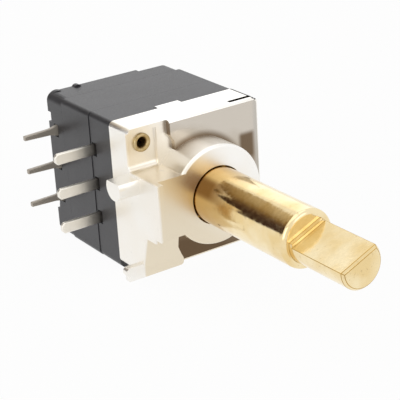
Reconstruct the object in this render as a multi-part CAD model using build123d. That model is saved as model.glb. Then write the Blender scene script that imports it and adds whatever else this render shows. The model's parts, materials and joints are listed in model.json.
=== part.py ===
from build123d import *
import math
import os

# Channel selector switch: a square rotary code switch with a die-cast front frame, three stacked
# black housings, a turned brass shaft, and two columns of solder terminals that leave on the left.
# Millimetres. The shaft turns about Y. Y = 0 is the collar's front face, the shaft comes out
# towards -Y, and the terminals and board legs point to -X. Each solid is written to its own STEP.

# --- fits and gaps -----------------------------------------------------------------------------
running_clearance = 0.04      # radial, shaft in its collar and in its rear bearing
drive_clearance = 0.04        # all round, a piece keyed on the shaft's tang
slot_clearance = 0.03         # each side, a terminal or spring in its slot
axial_play = 0.03             # end float of the shaft
turning_gap = 0.2             # a turning face from the wall beside it
contact_gap = 0.03            # wiper tip from the code disc's face
eyelet_clearance = 0.05       # eyelet tube in its holes
overcut = 1.0                 # a cut runs this far past the face it opens
root = 0.2                    # a joined piece starts this far inside its neighbour

# --- front frame, die-cast ---------------------------------------------------------------------
frame_width = 10.4            # X
frame_height = 10.4           # Z
front_wall = 0.85             # Y, plate thickness in front of the detent space
frame_edge = 0.4              # rounding of the four long corners
detent_space_radius = 4.4
collar_length = 2.25          # from the panel's front to the collar's front face
collar_radius = 3.55
collar_edge = 0.22
countersink = 0.05            # round the bore's mouth
lip_height = 0.3              # strip left above the stepped-back corner
corner_recess_depth = 0.25    # the stepped-back corner that holds the eyelet's head
corner_recess_width = 2.25    # from the frame's left side
pier_width = 0.8              # strip of plate between the corner and the panel
panel_height = 0.4            # the bright panel round the collar, in front of the plate
panel_edge = 0.18             # rounding of its outer front edges
panel_side_length = 0.95      # straight part of its left side, down from the top
panel_slope_width = 0.35      # below that it slopes to the collar
panel_slope_height = 0.55
seam_setback = 0.32           # open seam in the top right, behind the panel's front
seam_width = 0.36
seam_depth = 0.4
seam_length = 2.14
seam_end_wall = 0.1           # left standing at its right end
seam_notch_width = 0.3        # small notch where the seam ends on the right
seam_notch_depth = 0.15
tab_width = 1.9               # tongue on the top rear edge that laps the housing
tab_length = 0.5
tab_thickness = 0.15
tab_offset = -0.25            # tongue's middle, from the shaft axis

# --- block, foot and board legs, cast with the frame ---------------------------------------------
block_top = 2.2               # Z of the block's upper face
block_bottom = -2.1
block_width = 3.07            # X, into the collar
rib_thickness = 0.45          # upright rib on the block's left side
rib_reach = 0.7               # past the collar's face
rib_shortfall = 0.3           # how far the rib stops above the block's underside
block_cove = 0.45             # soft inner corner between the block's top and the plate
foot_width = 2.6              # X, at its top
foot_neck_width = 2.75        # X, where it starts to flare
foot_neck_height = 1.5        # above the frame's underside
foot_toe_width = 3.25         # X, at its toe
foot_toe_height = 0.5
foot_slope_height = 0.85      # the foot's front stops sloping at this height
foot_reach_top = 1.45         # in front of the plate
foot_reach_bottom = 0.8
toe_radius = 0.25
upper_leg_length = 1.6
upper_leg_radius = 0.85
upper_leg_height = 0.45       # the leg's flat top above its own axis
upper_leg_drop = 0.15         # the flat top below the block's top
upper_leg_axis = 0.35         # the leg's axis, in front of the plate
lower_leg_length = 1.35
lower_leg_height = 1.0
lower_leg_tip_height = 0.65   # the upper, longer part of the lower leg
lower_leg_step = 0.2          # the part below it is this much shorter
lower_leg_tip_radius = 0.3
lower_leg_thickness = 0.5

# --- shaft ---------------------------------------------------------------------------------------
shaft_radius = 2.0
relief_length = 0.8           # grease groove just inside the collar's mouth
relief_depth = 0.2
shaft_round_length = 9.7      # from the collar's face to the shoulder
shaft_shoulder_radius = 0.3
shaft_tip_length = 5.1        # the flatted end
shaft_tip_radius = 1.56
shaft_flat_height = 0.58      # the flat above the shaft axis
shaft_flat_turn = 22.5        # the flat's lean to the left at rest, one step of the detent
shaft_tip_edge = 0.16
flat_step_height = 0.22       # small ledge at the root of the flat
flat_step_length = 0.3
flange_radius = 2.7
flange_thickness = 0.4
tang_radius = 1.25
tang_flats = 1.8              # across the two drive flats
rear_journal_radius = 0.8
rear_journal_depth = 0.3      # in the rear cover

# --- detent and stop -----------------------------------------------------------------------------
position_count = 16
washer_thickness = 0.15
washer_radius = 2.9
stop_plate_thickness = 0.25
stop_lug_reach = 0.8          # past the flange
stop_lug_angle = 8.0
stop_block_angle = 8.0
wheel_thickness = 0.5
wheel_radius = 3.4
wheel_gap = 0.17              # wheel from the middle housing
notch_radius = 0.42
notch_offset = 0.12           # notch centres outside the wheel's rim
spring_thickness = 0.15
spring_length = 6.4
spring_gap = 0.12             # leaf from the wheel's rim
spring_bump_radius = 0.34
spring_bump_lift = 0.04       # the bump's centre above the leaf
spring_seat_depth = 0.35      # room behind the leaf

# --- housings, moulded ---------------------------------------------------------------------------
housing_inset = 0.05          # middle housing behind the frame's sides, and all three below its top
cover_inset = 0.12            # rear cover behind the main housing, on the right
housing_drop = 0.5            # housings below the frame's underside
housing_edge = 0.35
housing_belly_edge = 0.45     # rounding of the two lower long corners
cover_edge = 0.6
bank_clearance = 0.4          # round space for each rotor, past the rotor's rim
middle_wall = 0.5
main_wall = 0.6
cover_wall = 0.6
main_depth = 3.8
cover_depth = 2.1
cover_notch_height = 0.75
cover_notch_depth = 0.33
cover_notch_length = 0.4      # Y, from the rear, and so are the posts, the step and the bump
cover_notch_place = 3.4       # Z of the two notches, above and below the axis
cover_post_radius = 0.75      # round posts at the two left corners of the rear
cover_post_lift = 0.07        # the upper one above the cover's top
cover_step_width = 2.4        # the cover's top is lower from here to its right side
cover_step_depth = 0.19
cover_bump_radius = 0.35      # small lobe on the top rear edge
cover_bump_place = -2.8
cover_bump_lift = 0.15
cover_boss_radius = 1.05
cover_boss_height = 0.3
cover_boss_inset = 0.2        # boss nearer the axis than its eyelet
terminal_recess_depth = 0.1
terminal_recess_length = 0.35
terminal_recess_margin = 0.05

# --- contacts ------------------------------------------------------------------------------------
rotor_radius = 3.8
rotor_front_thickness = 0.9   # Y, the front rotor; the rear one fills the main housing
rotor_rim = 0.6               # wall round the hollow in a rotor's front
rotor_hub_radius = 1.75
rotor_web = 0.45              # wall behind the hollow
wiper_thickness = 0.12
wiper_radius = 3.1
wiper_tip_height = 0.35
wiper_tip_radius = 0.25
common_track_inner = 1.6
common_track_outer = 2.2
code_track_inner = 2.45
code_track_outer = 3.3
track_thickness = 0.1
disc_thickness = 0.7
code_segments = 8
terminal_pitch = 2.54
terminal_rows = 3
terminal_height = 0.8
terminal_thickness = 0.3
front_terminal_reach = 3.05   # out of the frame's left side
rear_terminal_reach = 2.6
terminal_inner_x = -3.5       # inner end, inside the code disc
rear_tip_height = 0.35
rear_flare_height = 0.6       # a rear terminal half way along its flare
rear_waist_height = 0.48      # and where the flare ends
rear_flare_length = 0.6
front_tip_chamfer = 0.2
eyelet_place = 4.03           # from the axis, in X and in Z
eyelet_outer_radius = 0.45
eyelet_bore_radius = 0.33
eyelet_head_radius = 0.66
eyelet_head_thickness = 0.2
eyelet_head_edge = 0.12
eyelet_mouth = 0.14           # widening of the bore at each end

# --- places that follow from the sizes -----------------------------------------------------------
left = -frame_width / 2
right = frame_width / 2
bottom = -frame_height / 2
top = frame_height / 2
bore_radius = shaft_radius + running_clearance
drive_radius = tang_radius + drive_clearance
bank_radius = rotor_radius + bank_clearance

panel_y = collar_length
plate_y = panel_y + panel_height
detent_y = plate_y + front_wall
flange_y = detent_y + washer_thickness + axial_play
stop_y = flange_y + flange_thickness
wheel_y = stop_y + stop_plate_thickness
wheel_rear_y = wheel_y + wheel_thickness
middle_y = wheel_rear_y + wheel_gap

front_rotor_y = middle_y + middle_wall + turning_gap
front_wiper_y = front_rotor_y + rotor_front_thickness
front_disc_y = front_wiper_y + wiper_thickness + wiper_tip_height + contact_gap
main_y = front_disc_y + disc_thickness
cover_y = main_y + main_depth
rear_y = cover_y + cover_depth
rear_disc_y = rear_y - cover_wall - disc_thickness
rear_wiper_y = rear_disc_y - contact_gap - wiper_tip_height - wiper_thickness
rear_rotor_y = main_y + main_wall + turning_gap

shoulder_y = -shaft_round_length
tip_y = shoulder_y - shaft_tip_length
tang_end_y = rear_disc_y - contact_gap
pass_radius = drive_radius + turning_gap      # holes that the tang passes
recess_top = top - lip_height
panel_left = left + corner_recess_width + pier_width
housing_top = top - housing_inset
housing_bottom = bottom - housing_drop
eyelets = [(-eyelet_place, eyelet_place), (eyelet_place, -eyelet_place)]
step_angle = 360 / position_count


# --- helpers -------------------------------------------------------------------------------------
def block(x0, x1, y0, y1, z0, z1):
    centre = Pos((x0 + x1) / 2, (y0 + y1) / 2, (z0 + z1) / 2)
    return centre * Box(abs(x1 - x0), abs(y1 - y0), abs(z1 - z0))


def rod(radius, y0, y1, x=0, z=0):
    """A cylinder along Y."""
    return Pos(x, (y0 + y1) / 2, z) * Rot(-90, 0, 0) * Cylinder(radius, abs(y1 - y0))


def cross_rod(radius, x0, x1, y, z):
    """A cylinder along X."""
    return Pos((x0 + x1) / 2, y, z) * Rot(0, 90, 0) * Cylinder(radius, x1 - x0)


def taper(radius_front, radius_rear, y0, y1, x=0, z=0):
    """A cone along Y, from y0 in front to y1 behind."""
    return Pos(x, (y0 + y1) / 2, z) * Rot(-90, 0, 0) * Cone(radius_front, radius_rear, y1 - y0)


def tube(outer, inner, y0, y1, x=0, z=0):
    return rod(outer, y0, y1, x, z) - rod(inner, y0, y1, x, z)


def turned(shape, degrees):
    """The shape turned about the shaft axis; positive leans the top to the left."""
    return Rot(0, -degrees, 0) * shape


def facing(points, y0, y1):
    """A prism along Y over an outline given in X and Z."""
    face = make_face(Polyline(*[(x, y0, z) for x, z in points], close=True))
    return extrude(face, amount=y1 - y0, dir=(0, 1, 0))


def sideways(points, x0, x1):
    """A prism along X over an outline given in Y and Z."""
    face = make_face(Polyline(*[(x0, y, z) for y, z in points], close=True))
    return extrude(face, amount=x1 - x0, dir=(1, 0, 0))


def rounded_bar(x0, x1, y0, y1, z0, z1, edge, lower_edge):
    """A bar along Y with its four long corners rounded."""
    bar = block(x0, x1, y0, y1, z0, z1)
    bar = fillet(bar.edges().filter_by(Axis.Y).group_by(Axis.Z)[-1], edge)
    return fillet(bar.edges().filter_by(Axis.Y).group_by(Axis.Z)[0], lower_edge)


def drive_bar(clearance, y0, y1):
    """The tang's double-D section, grown by a clearance."""
    half = tang_flats / 2 + clearance
    radius = tang_radius + clearance
    return rod(radius, y0, y1) & block(-radius, radius, y0, y1, -half, half)


def write(name, shape):
    export_step(shape, "parts/" + name + ".step")


# --- front frame ---------------------------------------------------------------------------------
def make_collar():
    collar = rod(collar_radius, 0, plate_y)
    rim = collar.edges().filter_by(GeomType.CIRCLE).sort_by(Axis.Y)[0]
    return fillet(rim, collar_edge)


def make_block():
    floor_y = plate_y + corner_recess_depth
    body = block(left, left + block_width, 0, floor_y, block_bottom, block_top)
    rib = block(left, left + rib_thickness, -rib_reach, 0, block_bottom + rib_shortfall, block_top)
    cove = block(left, left + corner_recess_width, floor_y - block_cove, floor_y, block_top,
                 block_top + block_cove)
    cove -= cross_rod(block_cove, left - overcut, left + corner_recess_width + overcut,
                      floor_y - block_cove, block_top + block_cove)
    return body + rib + cove


def make_foot():
    front_top = plate_y - foot_reach_top
    front_bottom = plate_y - foot_reach_bottom
    slope = [(plate_y + root, block_bottom + root), (front_top, block_bottom + root),
             (front_top, block_bottom), (front_bottom, bottom + foot_slope_height),
             (front_bottom, bottom), (plate_y + root, bottom)]
    toe_x = left + foot_toe_width
    outline = [(left, block_bottom + root), (left + foot_width, block_bottom + root),
               (left + foot_neck_width, bottom + foot_neck_height), (toe_x, bottom + foot_toe_height),
               (toe_x, bottom), (left, bottom)]
    shape = facing(outline, front_top, plate_y + root)
    toe = shape.edges().filter_by(Axis.Y).group_by(Axis.X)[-1].sort_by(Axis.Z)[0]
    return fillet(toe, toe_radius) & sideways(slope, left, toe_x)


def make_legs():
    axis_z = block_top - upper_leg_drop - upper_leg_height
    axis_y = plate_y - upper_leg_axis
    round_leg = cross_rod(upper_leg_radius, left - upper_leg_length, left, axis_y, axis_z)
    round_leg &= block(left - upper_leg_length, left, axis_y - upper_leg_radius, axis_y + upper_leg_radius,
                       axis_z - upper_leg_radius, axis_z + upper_leg_height)
    front = plate_y - foot_reach_bottom
    back = front + lower_leg_thickness
    leg_top = bottom + lower_leg_height
    tip = block(left - lower_leg_length, left, front, back, leg_top - lower_leg_tip_height, leg_top)
    tip = fillet(tip.edges().filter_by(Axis.Y).group_by(Axis.X)[0], lower_leg_tip_radius)
    lower = block(left - lower_leg_length + lower_leg_step, left, front, back, bottom, leg_top)
    return round_leg + tip + lower


def make_panel():
    """The raised panel round the collar; its lower left runs behind the block and the foot."""
    side_z = top - panel_side_length
    slope_x = panel_left + panel_slope_width
    foot_x = left + foot_width - root
    outline = [(panel_left, top), (panel_left, side_z), (slope_x, side_z - panel_slope_height),
               (slope_x, 0), (foot_x, 0), (foot_x, bottom), (right, bottom), (right, top)]
    panel = facing(outline, panel_y, plate_y + root)
    for z_place in (0, -1):
        panel = fillet(panel.edges().filter_by(Axis.Y).group_by(Axis.X)[-1].sort_by(Axis.Z)[z_place],
                       frame_edge)
    front = panel.faces().filter_by(Axis.Y).sort_by(Axis.Y)[0]
    outer = [edge for edge in front.edges() if max(abs(edge.center().X), abs(edge.center().Z))
             > right - frame_edge]
    return fillet(outer, panel_edge)


def make_front_frame():
    frame = rounded_bar(left, right, plate_y, middle_y, bottom, top, frame_edge, frame_edge)
    frame -= block(left - overcut, left + corner_recess_width, plate_y - overcut,
                   plate_y + corner_recess_depth, block_top, recess_top)
    frame += make_panel()
    frame += make_collar()
    frame += make_block()
    frame += make_foot()
    frame += make_legs()
    tab_x = tab_offset - tab_width / 2
    frame += block(tab_x, tab_x + tab_width, plate_y + front_wall, middle_y + tab_length,
                   top - tab_thickness, top)
    frame -= rod(detent_space_radius, detent_y, middle_y)
    frame -= spring_slot()
    frame += stop_block()
    frame -= rod(bore_radius, -overcut, detent_y + overcut)
    frame -= taper(bore_radius + countersink, bore_radius, 0, countersink)
    seam_y = panel_y + seam_setback
    frame -= block(right - seam_length, right - seam_end_wall, seam_y, seam_y + seam_width,
                   top - seam_depth, top + overcut)
    frame -= block(right - seam_notch_width, right + overcut, panel_y - overcut, seam_y + root,
                   top - seam_notch_depth, top + overcut)
    for x, z in eyelets:
        frame -= rod(eyelet_outer_radius + eyelet_clearance, panel_y - overcut, middle_y + overcut, x, z)
    return frame


def stop_block():
    """The fixed stop, at the far side of the shaft's travel from the lug's rest place."""
    return stop_sector(flange_radius + turning_gap, detent_space_radius + root, stop_block_angle,
                       detent_y - root, stop_y + stop_plate_thickness - axial_play, 180 + step_angle / 2)


def stop_sector(inner, outer, angle, y0, y1, turn):
    """Part of a ring about the shaft, centred on the top and then turned."""
    half = math.radians(angle / 2)
    reach = outer + overcut
    wedge = facing([(0, 0), (-reach * math.tan(half), reach), (reach * math.tan(half), reach)], y0, y1)
    return turned(tube(outer, inner, y0, y1) & wedge, turn)


# --- shaft ---------------------------------------------------------------------------------------
def make_shaft():
    main = rod(shaft_radius, shoulder_y, 0)
    rim = main.edges().filter_by(GeomType.CIRCLE).sort_by(Axis.Y)[0]
    main = fillet(rim, shaft_shoulder_radius)
    tip = rod(shaft_tip_radius, tip_y, shoulder_y)
    above = block(-shaft_radius, shaft_radius, tip_y - overcut, shoulder_y,
                  shaft_flat_height, shaft_radius)
    tip -= above
    tip = chamfer(tip.faces().sort_by(Axis.Y)[0].edges(), shaft_tip_edge)
    ledge = rod(shaft_tip_radius, shoulder_y - flat_step_length, shoulder_y + root)
    ledge &= block(-shaft_radius, shaft_radius, shoulder_y - flat_step_length, shoulder_y + root,
                   -shaft_radius, shaft_flat_height + flat_step_height)
    end = turned(tip + ledge, shaft_flat_turn)
    inner = rod(shaft_radius - relief_depth, 0, relief_length) + rod(shaft_radius, relief_length, flange_y)
    inner += rod(flange_radius, flange_y, stop_y)
    tang = drive_bar(0, stop_y, tang_end_y)
    rear = rod(rear_journal_radius, tang_end_y, rear_y - cover_wall + rear_journal_depth)
    return main + end + inner + tang + rear


def make_stop_plate():
    lug = stop_sector(flange_radius - root, flange_radius + stop_lug_reach, stop_lug_angle,
                      stop_y, wheel_y, 0)
    disc = rod(flange_radius, stop_y, wheel_y) + lug
    return disc - drive_bar(drive_clearance, stop_y - overcut, wheel_y + overcut)


def make_detent_wheel():
    wheel = rod(wheel_radius, wheel_y, wheel_rear_y)
    for n in range(position_count):
        angle = math.radians(n * step_angle)
        place = wheel_radius + notch_offset
        wheel -= rod(notch_radius, wheel_y - overcut, wheel_rear_y + overcut,
                     place * math.sin(angle), place * math.cos(angle))
    return wheel - drive_bar(drive_clearance, wheel_y - overcut, wheel_rear_y + overcut)


# --- detent spring, below the wheel ----------------------------------------------------------------
def spring_top():
    return -(wheel_radius + spring_gap)


def spring_slot():
    """The seat for the leaf, and the room behind it, cut into the detent space's floor."""
    half = spring_length / 2 + slot_clearance
    seat = spring_top() - spring_thickness - spring_seat_depth
    mouth = root - math.sqrt(detent_space_radius ** 2 - half ** 2)
    return block(-half, half, wheel_y - slot_clearance, middle_y, seat, mouth)


def make_detent_spring():
    """A flat leaf on two turned-down ends, with a round bump that rests in the wheel's notch."""
    z1 = spring_top()
    z0 = z1 - spring_thickness
    half = spring_length / 2
    leaf = block(-half, half, wheel_y, wheel_rear_y, z0, z1)
    bump = rod(spring_bump_radius, wheel_y, wheel_rear_y, 0, z1 + spring_bump_lift)
    leaf += bump & block(-half, half, wheel_y, wheel_rear_y, z0, z1 + overcut)
    for side in (-1, 1):
        leaf += block(side * half, side * (half - spring_thickness), wheel_y, wheel_rear_y,
                      z0 - spring_seat_depth, z1)
    return leaf


def make_thrust_washer():
    return tube(washer_radius, bore_radius, detent_y, detent_y + washer_thickness)


# --- housings ------------------------------------------------------------------------------------
def terminal_places():
    for row in range(terminal_rows):
        yield (row - (terminal_rows - 1) / 2) * terminal_pitch


def cut_terminal_slots(housing, side_x, disc_y):
    """A window through the left wall for each terminal, with a shallow recess in front of it."""
    mid_y = disc_y + disc_thickness / 2
    half_y = terminal_thickness / 2 + slot_clearance
    half_z = terminal_height / 2 + slot_clearance
    for z in terminal_places():
        housing -= block(side_x - overcut, terminal_inner_x + slot_clearance, mid_y - half_y,
                         mid_y + half_y, z - half_z, z + half_z)
        margin = half_z + terminal_recess_margin
        housing -= block(side_x - overcut, side_x + terminal_recess_depth,
                         mid_y - terminal_recess_length, mid_y + half_y, z - margin, z + margin)
    return housing


def cut_eyelet_holes(housing):
    for x, z in eyelets:
        housing -= rod(eyelet_outer_radius + eyelet_clearance, middle_y - overcut,
                       rear_y + cover_boss_height + overcut, x, z)
    return housing


def make_middle_housing():
    side = left + housing_inset
    housing = rounded_bar(side, right - housing_inset, middle_y, main_y, housing_bottom, housing_top,
                          housing_edge, housing_belly_edge)
    tab_x = tab_offset - tab_width / 2
    housing -= block(tab_x - slot_clearance, tab_x + tab_width + slot_clearance, middle_y - overcut,
                     middle_y + tab_length + slot_clearance, top - tab_thickness, top)
    housing -= rod(bank_radius, middle_y + middle_wall, main_y + overcut)
    housing -= rod(pass_radius, middle_y - overcut, main_y)
    return cut_eyelet_holes(cut_terminal_slots(housing, side, front_disc_y))


def make_main_housing():
    housing = rounded_bar(left, right - housing_inset, main_y, cover_y, housing_bottom, housing_top,
                          housing_edge, housing_belly_edge)
    housing -= rod(bank_radius, main_y + main_wall, cover_y + overcut)
    housing -= rod(pass_radius, main_y - overcut, cover_y)
    return cut_eyelet_holes(housing)


def make_rear_cover():
    cover = rounded_bar(left, right - housing_inset - cover_inset, cover_y, rear_y, housing_bottom,
                        housing_top, cover_edge, cover_edge)
    for z in (-cover_notch_place, cover_notch_place):
        cover -= block(left - overcut, left + cover_notch_depth, rear_y - cover_notch_length,
                       rear_y + overcut, z - cover_notch_height / 2, z + cover_notch_height / 2)
    cover -= block(cover_step_width, right + overcut, rear_y - cover_notch_length, rear_y + overcut,
                   housing_top - cover_step_depth, top + overcut)
    post_x = left + cover_post_radius
    for z in (housing_bottom + cover_post_radius, housing_top + cover_post_lift - cover_post_radius):
        cover += rod(cover_post_radius, rear_y - cover_notch_length, rear_y, post_x, z)
    cover += rod(cover_bump_radius, rear_y - cover_notch_length, rear_y, cover_bump_place,
                 housing_top + cover_bump_lift - cover_bump_radius)
    boss_place = eyelet_place - cover_boss_inset
    for x in (-boss_place, boss_place):
        for z in (-boss_place, boss_place):
            cover += rod(cover_boss_radius, rear_y - root, rear_y + cover_boss_height, x, z)
    cover -= rod(bank_radius, cover_y - overcut, rear_y - cover_wall)
    cover -= rod(rear_journal_radius + running_clearance, cover_y, rear_y - cover_wall
                 + rear_journal_depth + axial_play)
    return cut_eyelet_holes(cut_terminal_slots(cover, left, rear_disc_y))


# --- rotors, wipers, discs and terminals ---------------------------------------------------------
def make_rotor(y0, y1):
    """A moulded drum keyed on the tang, with a ring-shaped hollow open to the front."""
    drum = rod(rotor_radius, y0, y1)
    drum -= tube(rotor_radius - rotor_rim, rotor_hub_radius, y0 - overcut, y1 - rotor_web)
    return drum - drive_bar(drive_clearance, y0 - overcut, y1 + overcut)


def make_wiper(y0):
    """A sprung contact: a plate with one tip on the common track and two on the code track."""
    plate = rod(wiper_radius, y0, y0 + wiper_thickness)
    plate -= block(-wiper_radius, wiper_radius, y0 - overcut, y0 + overcut, -wiper_radius,
                   -common_track_outer)
    tip_y0 = y0 + wiper_thickness
    common = (common_track_inner + common_track_outer) / 2
    code = (code_track_inner + code_track_outer) / 2
    for radius, turn in ((common, 0), (code, step_angle), (code, -step_angle)):
        angle = math.radians(turn)
        plate += rod(wiper_tip_radius, y0, tip_y0 + wiper_tip_height,
                     radius * math.sin(angle), radius * math.cos(angle))
    return plate - drive_bar(drive_clearance, y0 - overcut, tip_y0 + wiper_tip_height + overcut)


def make_track(disc_y):
    """The metal tracks let into a code disc's face: a full ring and separate code segments."""
    y1 = disc_y + track_thickness
    pieces = [tube(common_track_outer, common_track_inner, disc_y, y1)]
    for n in range(code_segments):
        pieces.append(stop_sector(code_track_inner, code_track_outer, step_angle, disc_y, y1,
                                  n * 360 / code_segments))
    return pieces


def make_code_disc(disc_y, tracks):
    disc = rod(bank_radius, disc_y, disc_y + disc_thickness)
    disc -= rod(pass_radius, disc_y - overcut, disc_y + disc_thickness + overcut)
    for piece in tracks:
        disc -= piece
    mid_y = disc_y + disc_thickness / 2
    for z in terminal_places():
        disc -= block(-bank_radius - overcut, terminal_inner_x, mid_y - terminal_thickness / 2,
                      mid_y + terminal_thickness / 2, z - terminal_height / 2, z + terminal_height / 2)
    return disc


def make_front_terminal(z):
    """A broad flat blade with a chamfered tip."""
    mid_y = front_disc_y + disc_thickness / 2
    tip = left - front_terminal_reach
    half = terminal_height / 2
    cut = front_tip_chamfer
    outline = [(terminal_inner_x, z - half), (terminal_inner_x, z + half), (tip + cut, z + half),
               (tip, z + half - cut), (tip, z - half + cut), (tip + cut, z - half)]
    return facing(outline, mid_y - terminal_thickness / 2, mid_y + terminal_thickness / 2)


def make_rear_terminal(z):
    """A flat blade that flares at the housing and narrows to its tip."""
    mid_y = rear_disc_y + disc_thickness / 2
    upper = [(terminal_inner_x, terminal_height / 2), (left, terminal_height / 2),
             (left - rear_flare_length / 2, rear_flare_height / 2),
             (left - rear_flare_length, rear_waist_height / 2),
             (left - rear_terminal_reach, rear_tip_height / 2)]
    outline = [(x, z + half) for x, half in upper] + [(x, z - half) for x, half in reversed(upper)]
    return facing(outline, mid_y - terminal_thickness / 2, mid_y + terminal_thickness / 2)


def make_eyelet(x, z, front_y):
    """A hollow rivet, belled out over the frame in front and over the rear cover behind."""
    back_y = rear_y + cover_boss_height
    shank = rod(eyelet_outer_radius, front_y, back_y, x, z)
    head = rod(eyelet_head_radius, front_y - eyelet_head_thickness, front_y, x, z)
    head = fillet(head.edges().filter_by(GeomType.CIRCLE).sort_by(Axis.Y)[0], eyelet_head_edge)
    tail = rod(eyelet_head_radius, back_y, back_y + eyelet_head_thickness, x, z)
    tail = fillet(tail.edges().filter_by(GeomType.CIRCLE).sort_by(Axis.Y)[-1], eyelet_head_edge)
    rivet = shank + head + tail
    rivet -= rod(eyelet_bore_radius, front_y - overcut, back_y + overcut, x, z)
    wide = eyelet_bore_radius + eyelet_mouth
    rivet -= taper(wide, eyelet_bore_radius, front_y - eyelet_head_thickness, front_y, x, z)
    rivet -= taper(eyelet_bore_radius, wide, back_y, back_y + eyelet_head_thickness, x, z)
    return rivet


# --- write every piece ---------------------------------------------------------------------------
os.makedirs("parts", exist_ok=True)
write("front_frame", make_front_frame())
write("shaft", make_shaft())
write("thrust_washer", make_thrust_washer())
write("stop_plate", make_stop_plate())
write("detent_wheel", make_detent_wheel())
write("detent_spring", make_detent_spring())
write("middle_housing", make_middle_housing())
write("main_housing", make_main_housing())
write("rear_cover", make_rear_cover())
write("front_rotor", make_rotor(front_rotor_y, front_wiper_y))
write("rear_rotor", make_rotor(rear_rotor_y, rear_wiper_y))
write("front_wiper", make_wiper(front_wiper_y))
write("rear_wiper", make_wiper(rear_wiper_y))
for bank, disc_y in (("front", front_disc_y), ("rear", rear_disc_y)):
    tracks = make_track(disc_y)
    write(bank + "_tracks", Compound(tracks))
    write(bank + "_code_disc", make_code_disc(disc_y, tracks))
row_names = ("lower", "middle", "upper")
for name, z in zip(row_names, terminal_places()):
    write("front_terminal_" + name, make_front_terminal(z))
    write("rear_terminal_" + name, make_rear_terminal(z))
write("upper_eyelet", make_eyelet(*eyelets[0], plate_y + corner_recess_depth))
write("lower_eyelet", make_eyelet(*eyelets[1], panel_y))
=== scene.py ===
import json
import math

import bmesh
import bpy
from mathutils import Euler, Matrix, Vector


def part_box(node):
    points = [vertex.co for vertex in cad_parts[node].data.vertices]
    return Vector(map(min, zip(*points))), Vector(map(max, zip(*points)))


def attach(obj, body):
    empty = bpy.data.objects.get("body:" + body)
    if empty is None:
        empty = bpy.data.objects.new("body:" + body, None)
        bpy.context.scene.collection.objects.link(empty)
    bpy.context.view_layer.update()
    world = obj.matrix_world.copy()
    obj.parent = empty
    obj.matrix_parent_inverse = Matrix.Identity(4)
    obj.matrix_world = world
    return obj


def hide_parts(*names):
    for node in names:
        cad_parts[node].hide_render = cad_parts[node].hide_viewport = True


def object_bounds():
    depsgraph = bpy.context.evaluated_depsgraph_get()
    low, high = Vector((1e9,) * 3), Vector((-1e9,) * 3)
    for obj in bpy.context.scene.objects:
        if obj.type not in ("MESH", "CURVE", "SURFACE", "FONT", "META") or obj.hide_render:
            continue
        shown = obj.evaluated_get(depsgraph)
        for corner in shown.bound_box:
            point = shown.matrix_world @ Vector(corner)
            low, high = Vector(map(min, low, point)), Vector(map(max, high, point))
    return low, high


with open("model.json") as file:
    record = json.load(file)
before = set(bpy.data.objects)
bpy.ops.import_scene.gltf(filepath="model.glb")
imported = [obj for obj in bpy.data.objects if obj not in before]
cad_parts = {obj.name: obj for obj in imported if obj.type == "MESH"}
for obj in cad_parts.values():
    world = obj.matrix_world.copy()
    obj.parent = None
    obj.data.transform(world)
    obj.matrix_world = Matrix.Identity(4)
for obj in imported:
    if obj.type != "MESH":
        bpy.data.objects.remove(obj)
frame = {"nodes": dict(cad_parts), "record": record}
cadLow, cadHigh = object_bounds()
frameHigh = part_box("front_frame")[1]
mm = 0.001
near = 0.01 * mm          # two places closer than this count as one
mergeGap = 0.0005 * mm    # loose corners closer than this are joined


def toLinear(hexText):
    parts = [int(hexText[i:i + 2], 16) / 255 for i in (1, 3, 5)]
    return [c / 12.92 if c <= 0.04045 else ((c + 0.055) / 1.055) ** 2.4 for c in parts] + [1.0]


# adds one node; stops are the places and colours of a colour ramp
def addNode(tree, kind, settings=None, inputs=None, stops=()):
    node = tree.nodes.new(kind)
    for name, value in (settings or {}).items():
        setattr(node, name, value)
    for name, value in (inputs or {}).items():
        if isinstance(value, bpy.types.NodeSocket):
            tree.links.new(value, node.inputs[name])
        else:
            node.inputs[name].default_value = value
    stops = list(stops)
    if stops:
        elements = node.color_ramp.elements
        while len(elements) < len(stops):
            elements.new(0.5)
        for element, (place, colour) in zip(elements, stops):
            element.position = place
            element.color = toLinear(colour)
    return node


def startMaterial(name):
    material = bpy.data.materials.new(name)
    material.use_nodes = True
    tree = material.node_tree
    tree.nodes.clear()
    return material, tree, addNode(tree, "ShaderNodeTexCoord").outputs["Object"]


def endMaterial(tree, colour, rough, metallic, bump=None):
    inputs = {"Base Color": colour, "Metallic": metallic, "Roughness": rough}
    if bump is not None:
        inputs["Normal"] = bump
    shader = addNode(tree, "ShaderNodeBsdfPrincipled", inputs=inputs)
    addNode(tree, "ShaderNodeOutputMaterial", inputs={"Surface": shader.outputs["BSDF"]})


# where the casting's recessed panel lies, for its shape and for its finishes
panel = {"frontMm": 2.25, "leftMm": -2.15, "rightMm": 4.72, "collarMm": 3.55}

castNickel = {
    "light": "#fbfaf7", "warm": "#f8f4ed", "patchMm": 3.5, "patchStops": (0.35, 0.65),
    # a real cast grain is finer than can show at this size, so it is drawn coarser
    "grainMm": 0.14, "grainHeightMm": 0.0018, "grainStrength": 0.35, "grainFrom": (0.3, 0.7),
    "rough": (0.28, 0.36),
    "scuff": "#cfccc7", "scuffMm": 0.6, "scuffFrom": (0.66, 0.74), "scuffShare": 0.6,
    # painted shade: warmer from the first height to the second, along a line that leans to the right
    "low": "#e8dcc5", "lowMm": (3.4, -3.4), "lean": 0.8,
    # painted light: the lit left side keeps only this share of the painted warmth
    "sideMm": (-5.16, -5.02), "sideShare": 0.2,
    # a painted shadow line: dark where X, Y and Z are all past these places
    "seamShadowLine": "#141210", "seamShadowLineMm": (4.76, 2.3, 5.0),
}


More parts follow.
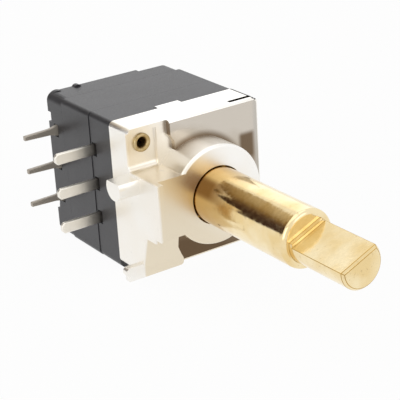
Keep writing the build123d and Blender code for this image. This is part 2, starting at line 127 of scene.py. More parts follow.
def satinNickelOnZinc(look):
    # die-cast zinc under satin nickel: pale soft reflections and a very fine cast grain, with painted shade
    # that makes it warmer towards the foot, less so on the lit left side
    material, tree, place = startMaterial("satinNickelOnZinc")
    patches = addNode(tree, "ShaderNodeTexNoise", inputs={
        "Vector": place, "Scale": 1 / (look["patchMm"] * mm), "Detail": 2.0, "Roughness": 0.4}).outputs["Fac"]
    grain = addNode(tree, "ShaderNodeTexNoise", inputs={
        "Vector": place, "Scale": 1 / (look["grainMm"] * mm), "Detail": 2.0, "Roughness": 0.6}).outputs["Fac"]
    scuffs = addNode(tree, "ShaderNodeTexNoise", inputs={
        "Vector": place, "Scale": 1 / (look["scuffMm"] * mm), "Detail": 4.0, "Roughness": 0.7,
        "Distortion": 1.5}).outputs["Fac"]
    plating = addNode(tree, "ShaderNodeValToRGB", inputs={"Fac": patches}, stops=zip(
        look["patchStops"], (look["warm"], look["light"]))).outputs["Color"]
    axes = addNode(tree, "ShaderNodeSeparateXYZ", inputs={"Vector": place}).outputs
    leaning = addNode(tree, "ShaderNodeMath", {"operation": "MULTIPLY_ADD"}, {
        0: axes["X"], 1: look["lean"], 2: axes["Z"]}).outputs[0]
    # painted shade, warmer towards the foot
    lowShare = addNode(tree, "ShaderNodeMapRange", inputs={
        "Value": leaning, "From Min": look["lowMm"][0] * mm,
        "From Max": look["lowMm"][1] * mm}).outputs["Result"]
    # painted light: less painted warmth on the lit left side
    sideShare = addNode(tree, "ShaderNodeMapRange", inputs={
        "Value": axes["X"], "From Min": look["sideMm"][0] * mm, "From Max": look["sideMm"][1] * mm,
        "To Min": look["sideShare"]}).outputs["Result"]
    warmth = addNode(tree, "ShaderNodeMath", {"operation": "MULTIPLY"}, {
        0: lowShare, 1: sideShare}).outputs[0]
    wearAndShade = addNode(tree, "ShaderNodeMapRange", inputs={
        "Value": scuffs, "From Min": look["scuffFrom"][0], "From Max": look["scuffFrom"][1],
        "To Max": look["scuffShare"]}).outputs["Result"]
    # a painted shadow line: dark along a thin strip of the top right edge, behind the seam
    seamShadowLine = 1.0
    for axis, fromMm in zip("XYZ", look["seamShadowLineMm"]):
        past = addNode(tree, "ShaderNodeMath", {"operation": "GREATER_THAN"}, {
            0: axes[axis], 1: fromMm * mm}).outputs[0]
        seamShadowLine = addNode(tree, "ShaderNodeMath", {"operation": "MULTIPLY"}, {0: past, 1: seamShadowLine}).outputs[0]
    colour = plating
    for share, tint in ((warmth, "low"), (wearAndShade, "scuff"), (seamShadowLine, "seamShadowLine")):
        colour = addNode(tree, "ShaderNodeMix", {"data_type": "RGBA"}, {
            0: share, 6: colour, 7: toLinear(look[tint])}).outputs[2]
    rough = addNode(tree, "ShaderNodeMapRange", inputs={
        "Value": grain, "From Min": look["grainFrom"][0], "From Max": look["grainFrom"][1],
        "To Min": look["rough"][0], "To Max": look["rough"][1]}).outputs["Result"]
    bump = addNode(tree, "ShaderNodeBump", inputs={
        "Height": grain, "Strength": look["grainStrength"],
        "Distance": look["grainHeightMm"] * mm}).outputs["Normal"]
    endMaterial(tree, colour, rough, 1.0, bump)
    return material


panelNickel = {
    # painted shade and reflection: tones from dark at the foot to light at the top, along a line that leans
    # to the right
    "tones": ((0.03, "#66533f"), (0.30, "#a2957f"), (0.70, "#b8ac9b"), (0.90, "#cdc5ba")),
    "lowMm": -4.6, "highMm": 5.6, "lean": 0.4, "cloudMm": 2.4, "cloudShare": 0.16,
    # painted shade and reflection in a ring round the collar's root, on the stepped left side and in one
    # patch right of the collar
    "paintedShade": "#6f5c47", "ringMm": 0.55, "sideMm": (0.07, 0.03), "paintedShadeShare": 0.9,
    "shadePatchLeftMm": 3.5, "shadePatchTopMm": 2.85, "shadePatchFootMm": (0.2, 1.2), "softMm": 0.22, "shadePatchShare": 0.95,
    # a greyer rim at the right edge, painted as the reflection of its rounding
    "rim": "#b9b5af", "rimMm": (-0.1, 0.15), "rimShare": 0.6,
    # trimming lines run upright, twenty times as long as they are wide, and coarser than real ones to show
    "lineMm": 0.16, "lineStretch": 0.05, "lineHeightMm": 0.0012, "lineStrength": 0.3, "lineFrom": (0.3, 0.7),
    "rough": (0.10, 0.16),
}


def brightNickelPanel(look):
    # bright nickel on a trimmed face: mirror-like, with faint trimming lines, and with painted shade and
    # reflection that darken it downwards, round the collar's root, on the stepped left side and in a patch
    # right of the collar
    material, tree, place = startMaterial("brightNickelPaintedShade")
    axes = addNode(tree, "ShaderNodeSeparateXYZ", inputs={"Vector": place}).outputs
    leaning = addNode(tree, "ShaderNodeMath", {"operation": "MULTIPLY_ADD"}, {
        0: axes["X"], 1: look["lean"], 2: axes["Z"]}).outputs[0]
    # painted shade and reflection, darker towards the foot
    height = addNode(tree, "ShaderNodeMapRange", inputs={
        "Value": leaning, "From Min": look["lowMm"] * mm, "From Max": look["highMm"] * mm}).outputs["Result"]
    cloud = addNode(tree, "ShaderNodeTexNoise", inputs={
        "Vector": place, "Scale": 1 / (look["cloudMm"] * mm), "Detail": 2.0, "Roughness": 0.5}).outputs["Fac"]
    drift = addNode(tree, "ShaderNodeMath", {"operation": "MULTIPLY_ADD"}, {
        0: cloud, 1: look["cloudShare"], 2: -look["cloudShare"] / 2}).outputs[0]
    tone = addNode(tree, "ShaderNodeMath", {"operation": "ADD"}, {0: height, 1: drift}).outputs[0]
    colour = addNode(tree, "ShaderNodeValToRGB", inputs={"Fac": tone}, stops=look["tones"]).outputs["Color"]
    flat = addNode(tree, "ShaderNodeCombineXYZ", inputs={"X": axes["X"], "Z": axes["Z"]}).outputs["Vector"]
    radius = addNode(tree, "ShaderNodeVectorMath", {"operation": "LENGTH"}, {0: flat}).outputs["Value"]
    # painted shade round the collar's root
    ring = addNode(tree, "ShaderNodeMapRange", {"interpolation_type": "SMOOTHSTEP"}, {
        "Value": radius, "From Min": (panel["collarMm"] + look["ringMm"]) * mm,
        "From Max": panel["collarMm"] * mm, "To Max": look["paintedShadeShare"]}).outputs["Result"]
    # painted shade on the stepped left side
    side = addNode(tree, "ShaderNodeMapRange", inputs={
        "Value": axes["X"], "From Min": (panel["leftMm"] + look["sideMm"][0]) * mm,
        "From Max": (panel["leftMm"] + look["sideMm"][1]) * mm,
        "To Max": look["paintedShadeShare"]}).outputs["Result"]
    # painted reflection of the rounded right edge
    rim = addNode(tree, "ShaderNodeMapRange", inputs={
        "Value": axes["X"], "From Min": (panel["rightMm"] + look["rimMm"][0]) * mm,
        "From Max": (panel["rightMm"] + look["rimMm"][1]) * mm, "To Max": look["rimShare"]}).outputs["Result"]
    # painted shadow and reflection in a patch right of the collar
    soft = look["softMm"]
    darkPatch = look["shadePatchShare"]
    for axis, fromMm, toMm in (("X", look["shadePatchLeftMm"] - soft, look["shadePatchLeftMm"] + soft),
                               ("X", panel["rightMm"] + soft, panel["rightMm"] - soft),
                               ("Z", look["shadePatchTopMm"] + soft, look["shadePatchTopMm"] - soft)):
        edge = addNode(tree, "ShaderNodeMapRange", {"interpolation_type": "SMOOTHSTEP"}, {
            "Value": axes[axis], "From Min": fromMm * mm, "From Max": toMm * mm}).outputs["Result"]
        darkPatch = addNode(tree, "ShaderNodeMath", {"operation": "MULTIPLY"}, {0: edge, 1: darkPatch}).outputs[0]
    above = addNode(tree, "ShaderNodeMapRange", inputs={
        "Value": axes["Z"], "From Min": look["shadePatchFootMm"][0] * mm,
        "From Max": look["shadePatchFootMm"][1] * mm}).outputs["Result"]
    darkPatch = addNode(tree, "ShaderNodeMath", {"operation": "MULTIPLY"}, {0: darkPatch, 1: above}).outputs[0]
    for share, tint in ((rim, "rim"), (darkPatch, "paintedShade"), (ring, "paintedShade"), (side, "paintedShade")):
        colour = addNode(tree, "ShaderNodeMix", {"data_type": "RGBA"}, {
            0: share, 6: colour, 7: toLinear(look[tint])}).outputs[2]
    stretched = addNode(tree, "ShaderNodeMapping", inputs={
        "Vector": place, "Scale": (1.0, 1.0, look["lineStretch"])}).outputs["Vector"]
    lines = addNode(tree, "ShaderNodeTexNoise", inputs={
        "Vector": stretched, "Scale": 1 / (look["lineMm"] * mm), "Detail": 2.0,
        "Roughness": 0.5}).outputs["Fac"]
    rough = addNode(tree, "ShaderNodeMapRange", inputs={
        "Value": lines, "From Min": look["lineFrom"][0], "From Max": look["lineFrom"][1],
        "To Min": look["rough"][0], "To Max": look["rough"][1]}).outputs["Result"]
    bump = addNode(tree, "ShaderNodeBump", inputs={
        "Height": lines, "Strength": look["lineStrength"],
        "Distance": look["lineHeightMm"] * mm}).outputs["Normal"]
    endMaterial(tree, colour, rough, 1.0, bump)
    return material


edgeNickel = {"light": "#efebe4", "deep": "#dcd6cb", "patchMm": 0.8, "patchStops": (0.35, 0.65),
              "rough": 0.16,
              # painted shade: greyer right of this X, and a painted shadow line, dark where Y and Z are past
              # these places too
              "right": "#b4b0aa", "rightMm": 4.9, "rim": "#141210", "rimMm": (2.3, 4.85)}


def polishedNickelEdge(look):
    # polished nickel on the rubbed edges: a bright line, with painted shade that makes it greyer on the right
    # and a painted shadow line dark on the rim behind the seam
    material, tree, place = startMaterial("polishedNickelEdge")
    axes = addNode(tree, "ShaderNodeSeparateXYZ", inputs={"Vector": place}).outputs
    clouds = addNode(tree, "ShaderNodeTexNoise", inputs={
        "Vector": place, "Scale": 1 / (look["patchMm"] * mm), "Detail": 3.0, "Roughness": 0.5}).outputs["Fac"]
    colour = addNode(tree, "ShaderNodeValToRGB", inputs={"Fac": clouds}, stops=zip(
        look["patchStops"], (look["deep"], look["light"]))).outputs["Color"]
    # painted shade greyer on the right, and a painted shadow line on the rim behind the seam
    right = addNode(tree, "ShaderNodeMath", {"operation": "GREATER_THAN"}, {
        0: axes["X"], 1: look["rightMm"] * mm}).outputs[0]
    wearAndShade = right
    for axis, fromMm in zip("YZ", look["rimMm"]):
        past = addNode(tree, "ShaderNodeMath", {"operation": "GREATER_THAN"}, {
            0: axes[axis], 1: fromMm * mm}).outputs[0]
        wearAndShade = addNode(tree, "ShaderNodeMath", {"operation": "MULTIPLY"}, {0: wearAndShade, 1: past}).outputs[0]
    for share, tint in ((right, "right"), (wearAndShade, "rim")):
        colour = addNode(tree, "ShaderNodeMix", {"data_type": "RGBA"}, {
            0: share, 6: colour, 7: toLinear(look[tint])}).outputs[2]
    endMaterial(tree, colour, look["rough"], 1.0)
    return material


shaftBrass = {
    "light": "#f4e2b8", "deep": "#ead099", "patchMm": 2.0, "patchStops": (0.38, 0.62),
    # turning rings are drawn further apart than real ones, so that they show
    "turnMm": 0.10, "turnHeightMm": 0.0008, "turnStrength": 0.5,
    "darkPatch": "#9a7850", "speckMm": 0.24, "speckFrom": (0.66, 0.80), "speckShare": 0.3,
    "speckHeightMm": 0.0055, "speckStrength": 0.6, "roughFrom": (0.35, 0.70), "rough": (0.09, 0.17),
    # a deeper gold, which comes in between these places on the way to the collar
    "nearCollarGold": "#cba25a", "nearCollarGoldMm": (-4.4, 0.4),
    # a painted dark reflection: a brown band on the flank that the turn below points at, coming in between
    # these shares of the radius
    "paintedReflection": "#86602f", "paintedReflectionTurn": (-0.799, 0, 0.602), "radiusMm": 2.0, "paintedReflectionFrom": (0.90, 0.985),
    "paintedReflectionMm": (-3.6, -1.4),
}


def turnedBrass(look):
    # turned and lightly polished brass: warm gold, close turning rings, small dark specks from handling, a
    # deeper gold towards the collar, and a painted dark reflection along one flank
    material, tree, place = startMaterial("turnedBrassPolished")
    patches = addNode(tree, "ShaderNodeTexNoise", inputs={
        "Vector": place, "Scale": 1 / (look["patchMm"] * mm), "Detail": 2.0, "Roughness": 0.5}).outputs["Fac"]
    specks = addNode(tree, "ShaderNodeTexNoise", inputs={
        "Vector": place, "Scale": 1 / (look["speckMm"] * mm), "Detail": 1.0, "Roughness": 0.5}).outputs["Fac"]
    # at a scale of 0.314, the bands of a wave are one unit apart
    rings = addNode(tree, "ShaderNodeTexWave", {"wave_type": "BANDS", "bands_direction": "Y"}, {
        "Vector": place, "Scale": 0.314 / (look["turnMm"] * mm), "Distortion": 2.5, "Detail": 2.0,
        "Detail Scale": 0.6}).outputs["Fac"]
    colour = addNode(tree, "ShaderNodeValToRGB", inputs={"Fac": patches}, stops=zip(
        look["patchStops"], (look["deep"], look["light"]))).outputs["Color"]
    along = addNode(tree, "ShaderNodeSeparateXYZ", inputs={"Vector": place}).outputs["Y"]
    nearCollarGold = addNode(tree, "ShaderNodeMapRange", inputs={
        "Value": along, "From Min": look["nearCollarGoldMm"][0] * mm,
        "From Max": look["nearCollarGoldMm"][1] * mm}).outputs["Result"]
    # a painted dark reflection in a brown band, which fades out along the shaft
    flank = addNode(tree, "ShaderNodeVectorMath", {"operation": "DOT_PRODUCT"}, {
        0: place, 1: look["paintedReflectionTurn"]}).outputs["Value"]
    paintedReflection = addNode(tree, "ShaderNodeMapRange", {"interpolation_type": "SMOOTHSTEP"}, {
        "Value": flank, "From Min": look["paintedReflectionFrom"][0] * look["radiusMm"] * mm,
        "From Max": look["paintedReflectionFrom"][1] * look["radiusMm"] * mm}).outputs["Result"]
    nearCollar = addNode(tree, "ShaderNodeMapRange", inputs={
        "Value": along, "From Min": look["paintedReflectionMm"][0] * mm,
        "From Max": look["paintedReflectionMm"][1] * mm}).outputs["Result"]
    paintedReflection = addNode(tree, "ShaderNodeMath", {"operation": "MULTIPLY"}, {0: paintedReflection, 1: nearCollar}).outputs[0]
    spotty = addNode(tree, "ShaderNodeMapRange", inputs={
        "Value": specks, "From Min": look["speckFrom"][0], "From Max": look["speckFrom"][1],
        "To Max": look["speckShare"]}).outputs["Result"]
    for share, tint in ((nearCollarGold, "nearCollarGold"), (paintedReflection, "paintedReflection"), (spotty, "darkPatch")):
        colour = addNode(tree, "ShaderNodeMix", {"data_type": "RGBA"}, {
            0: share, 6: colour, 7: toLinear(look[tint])}).outputs[2]
    rough = addNode(tree, "ShaderNodeMapRange", inputs={
        "Value": specks, "From Min": look["roughFrom"][0], "From Max": look["roughFrom"][1],
        "To Min": look["rough"][0], "To Max": look["rough"][1]}).outputs["Result"]
    dents = addNode(tree, "ShaderNodeBump", inputs={
        "Height": specks, "Strength": look["speckStrength"],
        "Distance": look["speckHeightMm"] * mm}).outputs["Normal"]
    bump = addNode(tree, "ShaderNodeBump", inputs={
        "Height": rings, "Strength": look["turnStrength"], "Distance": look["turnHeightMm"] * mm,
        "Normal": dents}).outputs["Normal"]
    endMaterial(tree, colour, rough, 1.0, bump)
    return material


moulding = {"patchMm": 2.5, "patchStops": (0.3, 0.7),
            # a real spark-eroded texture is finer, so it is drawn coarser to show
            "sparkMm": 0.09, "sparkHeightMm": 0.0035,
            "sparkStrength": 0.35, "sparkFrom": (0.3, 0.7), "rough": (0.30, 0.42),
            "black": ("#29282b", "#333235"), "natural": ("#bdb9ae", "#c9c6bc"),
            "brown": ("#2a2420", "#38302a")}


def mouldedPolyester(name, tones):
    # glass-filled polyester from a spark-eroded tool: satin, with a fine even texture and faint flow patches
    material, tree, place = startMaterial(name)
    patches = addNode(tree, "ShaderNodeTexNoise", inputs={
        "Vector": place, "Scale": 1 / (moulding["patchMm"] * mm), "Detail": 3.0,
        "Roughness": 0.5}).outputs["Fac"]
    spark = addNode(tree, "ShaderNodeTexNoise", inputs={
        "Vector": place, "Scale": 1 / (moulding["sparkMm"] * mm), "Detail": 2.0,
        "Roughness": 0.6}).outputs["Fac"]
    colour = addNode(tree, "ShaderNodeValToRGB", inputs={"Fac": patches}, stops=zip(
        moulding["patchStops"], tones)).outputs["Color"]
    rough = addNode(tree, "ShaderNodeMapRange", inputs={
        "Value": spark, "From Min": moulding["sparkFrom"][0], "From Max": moulding["sparkFrom"][1],
        "To Min": moulding["rough"][0], "To Max": moulding["rough"][1]}).outputs["Result"]
    bump = addNode(tree, "ShaderNodeBump", inputs={
        "Height": spark, "Strength": moulding["sparkStrength"],
        "Distance": moulding["sparkHeightMm"] * mm}).outputs["Normal"]
    endMaterial(tree, colour, rough, 0.0, bump)
    return material


tinning = {"rippleMm": 0.5, "rippleShare": 0.5, "rippleHeightMm": 0.02, "rippleStrength": 0.35,
           "toneStops": (0.05, 0.75), "rough": 0.36,
           # the front blades' darker roots are painted shade
           "front": {"root": "#a09a92", "tip": "#f3eee4", "reachMm": (-5.2, -6.5), "metallic": 1.0},
           "rear": {"root": "#beb6aa", "tip": "#b3aa9e", "reachMm": (-5.2, -6.3), "metallic": 0.35}}


def tinnedBrass(name, blade):
    # hot-tinned brass blade: softly bright and rippled, with painted shade that darkens the front blades
    # towards their roots
    material, tree, place = startMaterial(name)
    along = addNode(tree, "ShaderNodeSeparateXYZ", inputs={"Vector": place}).outputs["X"]
    # painted shade darkens the front blades towards their roots
    reach = addNode(tree, "ShaderNodeMapRange", inputs={
        "Value": along, "From Min": blade["reachMm"][0] * mm,
        "From Max": blade["reachMm"][1] * mm}).outputs["Result"]
    ripple = addNode(tree, "ShaderNodeTexNoise", inputs={
        "Vector": place, "Scale": 1 / (tinning["rippleMm"] * mm), "Detail": 2.0,
        "Roughness": 0.5}).outputs["Fac"]
    drift = addNode(tree, "ShaderNodeMath", {"operation": "MULTIPLY_ADD"}, {
        0: ripple, 1: tinning["rippleShare"], 2: -tinning["rippleShare"] / 2}).outputs[0]
    tone = addNode(tree, "ShaderNodeMath", {"operation": "ADD"}, {0: reach, 1: drift}).outputs[0]
    colour = addNode(tree, "ShaderNodeValToRGB", inputs={"Fac": tone}, stops=zip(
        tinning["toneStops"], (blade["root"], blade["tip"]))).outputs["Color"]
    bump = addNode(tree, "ShaderNodeBump", inputs={
        "Height": ripple, "Strength": tinning["rippleStrength"],
        "Distance": tinning["rippleHeightMm"] * mm}).outputs["Normal"]
    endMaterial(tree, colour, tinning["rough"], blade["metallic"], bump)
    return material


wear = {"stops": (0.35, 0.65), "heightMm": 0.004, "strength": 0.3,
        "silver": {"light": "#e8e4dc", "deep": "#d5cfc2", "patchMm": 0.7, "rough": 0.3},
        "eyelet": {"light": "#cbb68c", "deep": "#ae9768", "patchMm": 0.35, "rough": 0.36},
        "spring": {"light": "#bcbcbc", "deep": "#9c9c9c", "patchMm": 0.7, "rough": 0.3},
        "seam": {"light": "#4a4642", "deep": "#26231f", "patchMm": 0.3, "rough": 0.6},
        "shaftEdge": {"light": "#c39c50", "deep": "#a27c38", "patchMm": 1.2, "rough": 0.18}}


def wornMetal(name, metal):
    # rolled or stamped metal, and painted shade in the seam and on turned edges: even, with small clouds from
    # handling
    material, tree, place = startMaterial(name)
    clouds = addNode(tree, "ShaderNodeTexNoise", inputs={
        "Vector": place, "Scale": 1 / (metal["patchMm"] * mm), "Detail": 3.0,
        "Roughness": 0.5}).outputs["Fac"]
    colour = addNode(tree, "ShaderNodeValToRGB", inputs={"Fac": clouds}, stops=zip(
        wear["stops"], (metal["deep"], metal["light"]))).outputs["Color"]
    bump = addNode(tree, "ShaderNodeBump", inputs={
        "Height": clouds, "Strength": wear["strength"], "Distance": wear["heightMm"] * mm}).outputs["Normal"]
    endMaterial(tree, colour, metal["rough"], 1.0, bump)
    return material


finishes = {
    "frame_zinc": satinNickelOnZinc(castNickel),
    "shaft_brass": turnedBrass(shaftBrass),
    # near black housings, off-white rotors and dark brown code discs
    "housing_plastic": mouldedPolyester("blackPolyesterMoulded", moulding["black"]),
    "rotor_plastic": mouldedPolyester("naturalPolyesterMoulded", moulding["natural"]),
    "disc_plastic": mouldedPolyester("brownPolyesterMoulded", moulding["brown"]),
    "terminal_tin": tinnedBrass("tinnedBrassFront", tinning["front"]),
    # silvered bronze is creamy white, rolled brass a dull yellow and spring steel an even grey
    "contact_silver": wornMetal("silveredBronze", wear["silver"]),
    "eyelet_brass": wornMetal("rolledBrassDull", wear["eyelet"]),
    "detent_steel": wornMetal("springSteel", wear["spring"]),
}
rearTinFinish = tinnedBrass("tinnedBrassRear", tinning["rear"])
panelFinish = brightNickelPanel(panelNickel)
edgeFinish = polishedNickelEdge(edgeNickel)
seamFinish = wornMetal("paintedShadeSeam", wear["seam"])               # painted shade: nearly black in its depth
brassEdgeFinish = wornMetal("darkBrassEdge", wear["shaftEdge"])    # a deeper gold line at each turned edge, painted as the dark reflection of its rounding
slots = {}
for subpart in frame["record"]["subparts"]:
    slots[subpart["node"]] = subpart["material_slot"]
    node = frame["nodes"][subpart["node"]]
    node.data.materials.clear()
    node.data.materials.append(finishes[subpart["material_slot"]])
print("finishes on", len(slots), "solids")


# edges that turn by more than fromDegrees are rounded off; sharpDegrees parts the shading, and faces within
# flatDegrees of one plane are joined
softEdges = {"fromDegrees": 30, "segments": 3, "sharpDegrees": 40, "flatDegrees": 0.5}


# puts a finished shape into the scene, riding a body and standing for a solid
def placePiece(name, shape, materials, body, node):
    data = bpy.data.meshes.new(name)
    shape.to_mesh(data)
    shape.free()
    data.polygons.foreach_set("use_smooth", [True] * len(data.polygons))
    data.set_sharp_from_angle(angle=math.radians(softEdges["sharpDegrees"]))
    piece = bpy.data.objects.new(name, data)
    bpy.context.scene.collection.objects.link(piece)
    for material in materials:
        data.materials.append(material)
    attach(piece, body)
    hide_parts(node)
    return piece


def mergedSolid(node):
    shape = bmesh.new()
    shape.from_mesh(frame["nodes"][node].data)
    bmesh.ops.remove_doubles(shape, verts=shape.verts, dist=mergeGap)
    bmesh.ops.dissolve_limit(shape, angle_limit=math.radians(softEdges["flatDegrees"]), verts=shape.verts,
                             edges=shape.edges)
    return shape


# share gives an edge its part of the full width; edgeSlot is the material slot of the rounded edges
def softenedPiece(name, node, body, widthMm, materials, edgeSlot=-1, share=None):
    shape = mergedSolid(node)
    weights = shape.edges.layers.float.new("bevel_weight_edge")
    for edge in shape.edges:
        if edge.calc_face_angle(0) > math.radians(softEdges["fromDegrees"]):
            edge[weights] = share(edge) if share else 1.0
    piece = placePiece(name, shape, materials, body, node)
    edges = piece.modifiers.new("softEdges", "BEVEL")
    edges.width = widthMm * mm
    edges.segments = softEdges["segments"]
    edges.limit_method = "WEIGHT"
    edges.profile = 0.5
    edges.material = edgeSlot
    normals = piece.modifiers.new("evenFaces", "WEIGHTED_NORMAL")
    normals.keep_sharp = True
    return piece


castFrame = {"edgeMm": 0.09,
             "seamStartMm": 2.57, "seamWidthMm": 0.36, "seamDepthMm": 0.4, "seamLengthMm": 2.14,
             "notchWidthMm": 0.3, "notchDepthMm": 0.15,
             # a face nearer than this to a plane lies on it
             "faceMm": 0.02,
             # the step on the panel's left side: how far back it ends, how wide it is and where it starts
             "stepBackMm": 2.65, "stepWidthMm": 0.4, "stepFootMm": 3}
seamLow = Vector((frameHigh.x - castFrame["seamLengthMm"] * mm, castFrame["seamStartMm"] * mm,
                  frameHigh.z - castFrame["seamDepthMm"] * mm))
seamHigh = Vector((frameHigh.x, (castFrame["seamStartMm"] + castFrame["seamWidthMm"]) * mm, frameHigh.z))
notchLow = Vector((frameHigh.x - castFrame["notchWidthMm"] * mm, panel["frontMm"] * mm,
                   frameHigh.z - castFrame["notchDepthMm"] * mm))


# in the seam, or in the small notch that opens it at the corner
def inSeam(point):
    return any(all(low[i] - near <= point[i] <= seamHigh[i] + near for i in range(3))
               for low in (seamLow, notchLow))


def frameEdgeShare(edge):
    return 0.0 if inSeam((edge.verts[0].co + edge.verts[1].co) / 2) else 1.0


frameFinishes = [finishes["frame_zinc"], panelFinish, edgeFinish, seamFinish]
framePiece = softenedPiece("castFrame", "front_frame", "body", castFrame["edgeMm"], frameFinishes,
                           frameFinishes.index(edgeFinish), frameEdgeShare)
for polygon in framePiece.data.polygons:
    centre, behind = polygon.center, polygon.center.y - panel["frontMm"] * mm
    forward, leftward = polygon.normal.y < -0.99, polygon.normal.x < -0.5
    onPanel = forward and abs(behind) < castFrame["faceMm"] * mm
    onStep = (leftward and 0 < behind and centre.y < castFrame["stepBackMm"] * mm
              and abs(centre.x - panel["leftMm"] * mm) < castFrame["stepWidthMm"] * mm
              and centre.z > castFrame["stepFootMm"] * mm)
    if onPanel or onStep:
        polygon.material_index = frameFinishes.index(panelFinish)
    # the seam's faces take the painted shade
    if centre.z < frameHigh.z - castFrame["faceMm"] * mm and inSeam(centre):
        polygon.material_index = frameFinishes.index(seamFinish)
print("cast frame:", len(framePiece.data.polygons), "faces before its edges are rounded")

turnedShaft = {"edgeMm": 0.10}
shaftFinishes = [finishes["shaft_brass"], brassEdgeFinish]
softenedPiece("turnedShaft", "shaft", "shaft", turnedShaft["edgeMm"], shaftFinishes,
              shaftFinishes.index(brassEdgeFinish))

housings = {"edgeMm": 0.07, "jointShare": 0.2, "nodes": ("middle_housing", "main_housing", "rear_cover")}
joints = [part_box(node)[0].y for node in housings["nodes"]]


# the housings are pressed tight, so the edges where they meet stay nearly sharp
def housingEdgeShare(edge):
    ends = [vert.co.y for vert in edge.verts]
    atJoint = any(all(abs(y - joint) < near for y in ends) for joint in joints)
    return housings["jointShare"] if atJoint else 1.0


for node in housings["nodes"]:
    softenedPiece(node + "_moulded", node, "body", housings["edgeMm"], [finishes["housing_plastic"]],
                  share=housingEdgeShare)

blades = {"edgeMm": 0.07}
for node in sorted(slots):
    if "terminal" in node:
        finish = rearTinFinish if node.startswith("rear") else finishes["terminal_tin"]
        softenedPiece(node + "_blade", node, "body", blades["edgeMm"], [finish])
print("housings and blades softened")

eyelets = {"tubeMm": 0.45, "shoulderMm": 0.2, "steps": 56,
           # radius and depth of the rolled head, from its rim round to the bore
           "head": ((0.62, 0.20), (0.655, 0.13), (0.64, 0.06), (0.58, 0.01), (0.51, 0.0), (0.45, 0.03),
                    (0.40, 0.09), (0.355, 0.18), (0.33, 0.32))}
for node in ("upper_eyelet", "lower_eyelet"):
    low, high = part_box(node)
    axisX, axisZ = (low.x + high.x) / 2, (low.z + high.z) / 2
    head = [(radius * mm, depth * mm) for radius, depth in eyelets["head"]]
    tube, shoulder = eyelets["tubeMm"] * mm, eyelets["shoulderMm"] * mm
    profile = [(tube, low.y + shoulder)]
    profile += [(radius, low.y + depth) for radius, depth in head]
    profile += [(radius, high.y - depth) for radius, depth in reversed(head)]
    profile += [(tube, high.y - shoulder)]
    shape = bmesh.new()
    ring = [shape.verts.new((axisX + radius, y, axisZ)) for radius, y in profile]
    lines = [shape.edges.new((ring[i], ring[(i + 1) % len(ring)])) for i in range(len(ring))]
    bmesh.ops.spin(shape, geom=ring + lines, cent=(axisX, 0, axisZ), axis=(0, 1, 0), angle=math.tau,
                   steps=eyelets["steps"], use_merge=True, use_duplicate=False)
    bmesh.ops.remove_doubles(shape, verts=shape.verts, dist=mergeGap)
    bmesh.ops.recalc_face_normals(shape, faces=shape.faces)
    placePiece(node + "_rolled", shape, [finishes["eyelet_brass"]], "body", node)
print("eyelets rolled")

cameraSettings = {"placeMm": (-47.840, -70.996, 35.588), "turnDegrees": (67.219, 3.207, -34.462),
                  "lensMm": 123.745, "sensorMm": 36, "clip": (0.005, 2.0)}
cameraData = bpy.data.cameras.new("camera")
cameraData.lens = cameraSettings["lensMm"]
cameraData.sensor_width = cameraSettings["sensorMm"]
cameraData.clip_start, cameraData.clip_end = cameraSettings["clip"]
camera = bpy.data.objects.new("camera", cameraData)
camera.location = Vector(cameraSettings["placeMm"]) * mm
camera.rotation_euler = Euler([math.radians(a) for a in cameraSettings["turnDegrees"]])
bpy.context.scene.collection.objects.link(camera)
bpy.context.scene.camera = camera


def placeSheet(name, width, depth, turn, place, material):
    sheet = bmesh.new()
    bmesh.ops.create_grid(sheet, x_segments=1, y_segments=1, size=0.5)
    bmesh.ops.scale(sheet, vec=(width, depth, 1), verts=sheet.verts)
    bmesh.ops.rotate(sheet, cent=(0, 0, 0), matrix=turn, verts=sheet.verts)
    bmesh.ops.translate(sheet, vec=place, verts=sheet.verts)
    data = bpy.data.meshes.new(name)
    sheet.to_mesh(data)
    sheet.free()
    data.materials.append(material)
    piece = bpy.data.objects.new(name, data)
    bpy.context.scene.collection.objects.link(piece)
    return piece


floor = {"widthMm": 1200, "gapMm": 0.02, "paper": "#f4f3f1", "eyeShare": 0.95}


def whitePaper():
    # matte white paper: shown white to the eye and in the metal, with the soft shadow kept
    material, tree, place = startMaterial("whitePaperMatte")
    path = addNode(tree, "ShaderNodeLightPath").outputs
    eye = addNode(tree, "ShaderNodeMath", {"operation": "MULTIPLY"}, {
        0: path["Is Camera Ray"], 1: floor["eyeShare"]}).outputs[0]
    share = addNode(tree, "ShaderNodeMath", {"operation": "MAXIMUM"}, {
        0: eye, 1: path["Is Glossy Ray"]}).outputs[0]
    paper = addNode(tree, "ShaderNodeBsdfDiffuse", inputs={"Color": toLinear(floor["paper"])})
    glow = addNode(tree, "ShaderNodeEmission", inputs={"Color": (1, 1, 1, 1), "Strength": 1.0})
    mix = addNode(tree, "ShaderNodeMixShader", inputs={0: share, 1: paper.outputs[0], 2: glow.outputs[0]})
    addNode(tree, "ShaderNodeOutputMaterial", inputs={"Surface": mix.outputs[0]})
    return material


placeSheet("floor", floor["widthMm"] * mm, floor["widthMm"] * mm, Matrix.Identity(3),
           (0, 0, cadLow.z - floor["gapMm"] * mm), whitePaper())

card = {"placeMm": (-57, 100, 67), "widthMm": 130, "depthMm": 80, "leanDegrees": 54, "fadeMm": (46, 110),
        "weaveMm": 6, "weaveShare": 0.3,
        "tones": ((0.0, "#44302a"), (0.3, "#624a38"), (0.55, "#a08458"), (1.0, "#f0e0c0"))}


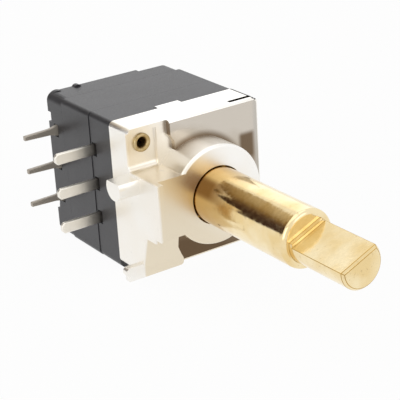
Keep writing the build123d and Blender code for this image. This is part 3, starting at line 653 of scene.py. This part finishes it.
def darkCloth():
    # brown cloth, dark below and fading to tan above: gives the metal something dark to reflect
    material, tree, place = startMaterial("darkClothMatte")
    height = addNode(tree, "ShaderNodeSeparateXYZ", inputs={"Vector": place}).outputs["Z"]
    fade = addNode(tree, "ShaderNodeMapRange", inputs={
        "Value": height, "From Min": card["fadeMm"][0] * mm,
        "From Max": card["fadeMm"][1] * mm}).outputs["Result"]
    weave = addNode(tree, "ShaderNodeTexNoise", inputs={
        "Vector": place, "Scale": 1 / (card["weaveMm"] * mm), "Detail": 3.0, "Roughness": 0.6}).outputs["Fac"]
    drift = addNode(tree, "ShaderNodeMath", {"operation": "MULTIPLY_ADD"}, {
        0: weave, 1: card["weaveShare"], 2: -card["weaveShare"] / 2}).outputs[0]
    tone = addNode(tree, "ShaderNodeMath", {"operation": "ADD"}, {0: fade, 1: drift}).outputs[0]
    colour = addNode(tree, "ShaderNodeValToRGB", inputs={"Fac": tone}, stops=card["tones"]).outputs["Color"]
    cloth = addNode(tree, "ShaderNodeBsdfDiffuse", inputs={"Color": colour})
    # only the first reflection sees the cloth, so that two facing metal walls don't darken each other
    depth = addNode(tree, "ShaderNodeLightPath").outputs["Ray Depth"]
    second = addNode(tree, "ShaderNodeMath", {"operation": "GREATER_THAN"}, {0: depth, 1: 1.5}).outputs[0]
    glow = addNode(tree, "ShaderNodeEmission", inputs={"Color": (1, 1, 1, 1), "Strength": 1.0})
    mix = addNode(tree, "ShaderNodeMixShader", inputs={0: second, 1: cloth.outputs[0], 2: glow.outputs[0]})
    addNode(tree, "ShaderNodeOutputMaterial", inputs={"Surface": mix.outputs[0]})
    return material


# the card stands upright behind the part, tilted to one side, and only reflections see it
cardTurn = (Matrix.Rotation(math.radians(-card["leanDegrees"]), 3, "Y")
            @ Matrix.Rotation(math.radians(90), 3, "X"))
cardPiece = placeSheet("darkCard", card["widthMm"] * mm, card["depthMm"] * mm, cardTurn,
                       Vector(card["placeMm"]) * mm, darkCloth())
cardPiece.visible_camera = False
cardPiece.visible_diffuse = False
cardPiece.visible_shadow = False

# the world is white to the eye and in the metal, and dimmer where it lights
surround = {"strength": 0.55}
world = bpy.data.worlds.new("studio")
bpy.context.scene.world = world
world.use_nodes = True
worldTree = world.node_tree
worldTree.nodes.clear()
worldPath = addNode(worldTree, "ShaderNodeLightPath").outputs
worldSeen = worldPath["Is Camera Ray"]
for ray in ("Is Transmission Ray", "Is Glossy Ray"):
    worldSeen = addNode(worldTree, "ShaderNodeMath", {"operation": "MAXIMUM"}, {
        0: worldSeen, 1: worldPath[ray]}).outputs[0]
worldDim = addNode(worldTree, "ShaderNodeBackground", inputs={
    "Color": (1, 1, 1, 1), "Strength": surround["strength"]})
worldWhite = addNode(worldTree, "ShaderNodeBackground", inputs={"Color": (1, 1, 1, 1), "Strength": 1.0})
worldMix = addNode(worldTree, "ShaderNodeMixShader", inputs={
    0: worldSeen, 1: worldDim.outputs[0], 2: worldWhite.outputs[0]})
addNode(worldTree, "ShaderNodeOutputWorld", inputs={"Surface": worldMix.outputs[0]})

# places and sizes in metres, power in watts
lamps = {
    "overhead": {"place": (-0.02, 0.02, 0.16), "size": 0.20, "power": 0.05},
    "back": {"place": (0.082, 0.122, 0.068), "size": 0.10, "power": 0.012},
    "left": {"place": (-0.16, -0.05, 0.06), "size": 0.12, "power": 0.05},
    "front": {"place": (0.05, -0.18, 0.08), "size": 0.10, "power": 0.02},
}
for name, lamp in lamps.items():
    data = bpy.data.lights.new(name, "AREA")
    data.size = lamp["size"]
    data.energy = lamp["power"]
    lampObject = bpy.data.objects.new(name, data)
    lampObject.location = lamp["place"]
    lampObject.rotation_mode = "QUATERNION"
    lampObject.rotation_quaternion = (-Vector(lamp["place"])).to_track_quat("-Z", "Y")
    bpy.context.scene.collection.objects.link(lampObject)
bpy.context.scene.view_settings.view_transform = "Standard"
print("studio set with", len(lamps), "lamps")
